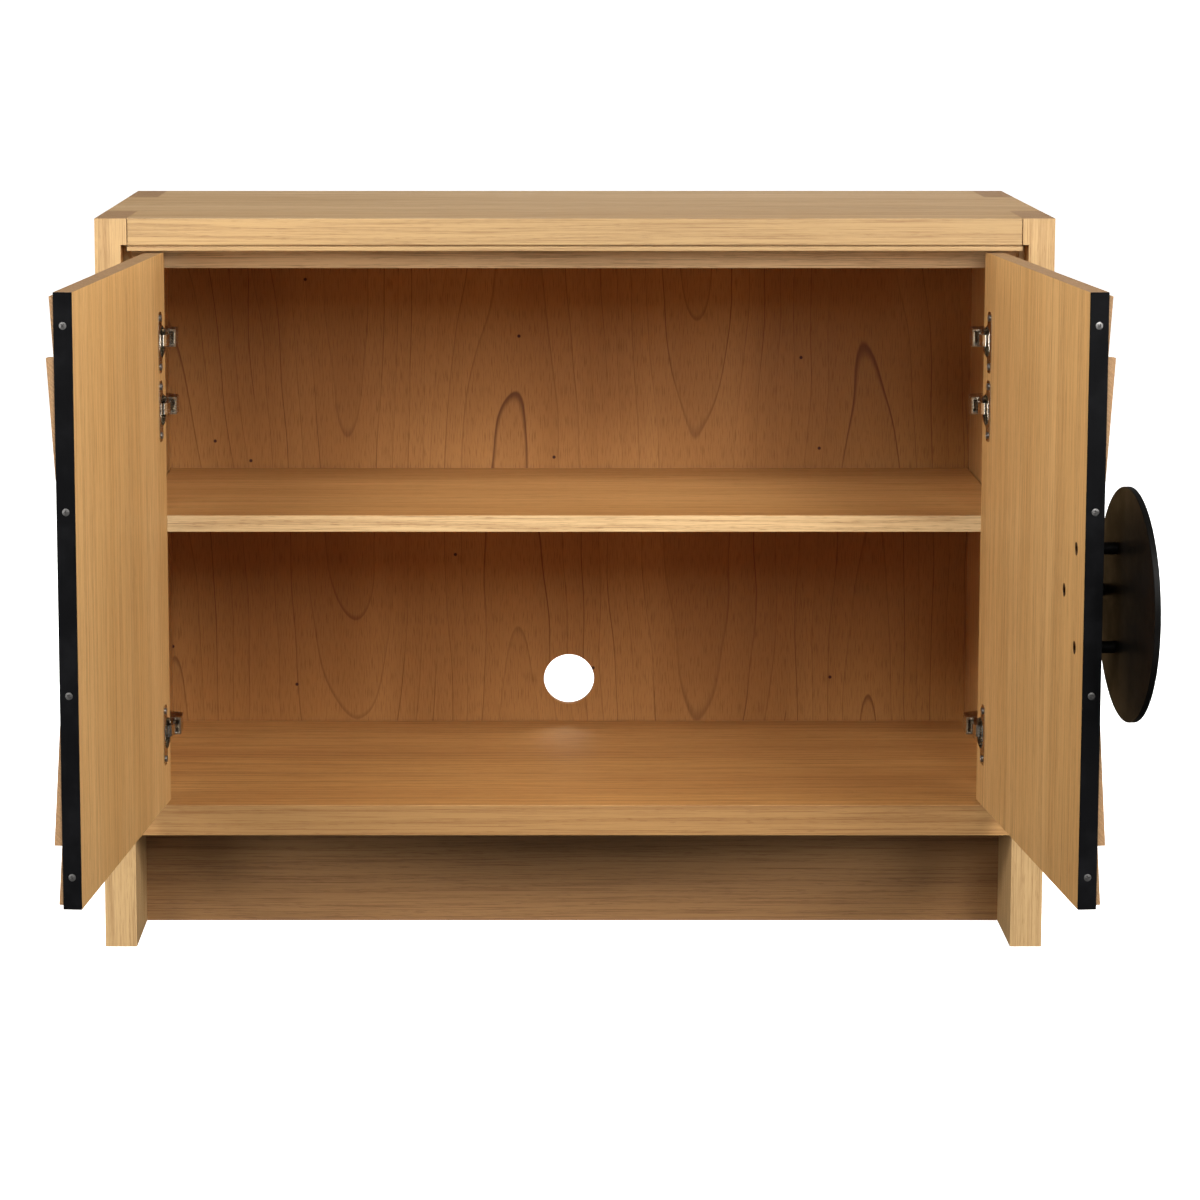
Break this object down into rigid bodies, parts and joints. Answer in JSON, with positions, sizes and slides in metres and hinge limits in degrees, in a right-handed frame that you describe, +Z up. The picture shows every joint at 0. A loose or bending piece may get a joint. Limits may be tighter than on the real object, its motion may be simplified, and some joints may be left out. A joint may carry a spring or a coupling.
{
  "type": "media cabinet",
  "caption": "Oak media cabinet on a recessed plinth, with two inset carved doors on concealed hinges, a loose shelf and a round black handle plate.",
  "frame": {"origin": "on the floor, under the middle of the plinth board's foot", "axes": "+X to the right seen from the front, +Y to the back, +Z up"},
  "size_m": [1.0403, 1.0256, 0.791],
  "materials": {
    "oak_case": "clear satin lacquer over straight-grained oak veneer",
    "oak_door": "clear satin lacquer over vertical-grained oak veneer",
    "oak_carved": "matt lacquer over solid carved oak",
    "brown_back_veneer": "low-sheen lacquer over crown-cut veneer",
    "black_metal": "satin black powder coat",
    "nickel_hinge": "polished nickel plate",
    "bright_screws": "zinc-plated steel"
  },
  "bodies": {
    "cabinet": {"back_panel": "brown_back_veneer", "back_panel_screws": "bright_screws", "bottom_panel": "oak_case", "left_arm_screws": "bright_screws", "left_hinge_arm_pins": "nickel_hinge", "left_lower_hinge_arm": "nickel_hinge", "left_lower_hinge_plate": "nickel_hinge", "left_middle_hinge_arm": "nickel_hinge", "left_middle_hinge_plate": "nickel_hinge", "left_plate_screws": "bright_screws", "left_side_panel": "oak_case", "left_upper_hinge_arm": "nickel_hinge", "left_upper_hinge_plate": "nickel_hinge", "plinth_board": "oak_case", "right_arm_screws": "bright_screws", "right_hinge_arm_pins": "nickel_hinge", "right_lower_hinge_arm": "nickel_hinge", "right_lower_hinge_plate": "nickel_hinge", "right_middle_hinge_arm": "nickel_hinge", "right_middle_hinge_plate": "nickel_hinge", "right_plate_screws": "bright_screws", "right_side_panel": "oak_case", "right_upper_hinge_arm": "nickel_hinge", "right_upper_hinge_plate": "nickel_hinge", "shelf": "oak_case", "shelf_pins": "bright_screws", "top_front_rail": "oak_case", "top_panel": "oak_case"},
    "left_links": {"left_lower_hinge_link": "nickel_hinge", "left_middle_hinge_link": "nickel_hinge", "left_upper_hinge_link": "nickel_hinge"},
    "left_door": {"left_carved_inner_ring": "oak_carved", "left_carved_outer_field": "oak_carved", "left_carved_outer_ring": "oak_carved", "left_door_panel": "oak_door", "left_edge_strip": "black_metal", "left_edge_strip_screws": "bright_screws", "left_hinge_cup_pins": "nickel_hinge", "left_hinge_cup_screws": "bright_screws", "left_lower_hinge_cup": "nickel_hinge", "left_middle_hinge_cup": "nickel_hinge", "left_upper_hinge_cup": "nickel_hinge"},
    "right_links": {"right_lower_hinge_link": "nickel_hinge", "right_middle_hinge_link": "nickel_hinge", "right_upper_hinge_link": "nickel_hinge"},
    "right_door": {"handle_bolts": "bright_screws", "handle_disc": "black_metal", "handle_posts": "black_metal", "right_carved_inner_ring": "oak_carved", "right_carved_outer_field": "oak_carved", "right_carved_outer_ring": "oak_carved", "right_door_panel": "oak_door", "right_edge_strip": "black_metal", "right_edge_strip_screws": "bright_screws", "right_hinge_cup_pins": "nickel_hinge", "right_hinge_cup_screws": "bright_screws", "right_lower_hinge_cup": "nickel_hinge", "right_middle_hinge_cup": "nickel_hinge", "right_upper_hinge_cup": "nickel_hinge"}
  },
  "joints": [
    {"name": "left_link_swing", "type": "hinge", "parent": "cabinet", "child": "left_links", "pos_m": [-0.4343, -0.082, 0.4575], "axis": [0, 0, 1], "range_deg": [-54, 0]},
    {"name": "left_door_swing", "type": "hinge", "parent": "left_links", "child": "left_door", "pos_m": [-0.44161, -0.11587, 0.4575], "axis": [0, 0, 1], "range_deg": [0, 149]},
    {"name": "right_link_swing", "type": "hinge", "parent": "cabinet", "child": "right_links", "pos_m": [0.4343, -0.082, 0.4575], "axis": [0, 0, -1], "range_deg": [-54, 0]},
    {"name": "right_door_swing", "type": "hinge", "parent": "right_links", "child": "right_door", "pos_m": [0.44161, -0.11587, 0.4575], "axis": [0, 0, -1], "range_deg": [0, 149]}
  ],
  "couplings": [
    {"joint": "left_link_swing", "follows": "left_door_swing", "ratio": -0.36242},
    {"joint": "right_link_swing", "follows": "right_door_swing", "ratio": -0.36242}
  ]
}
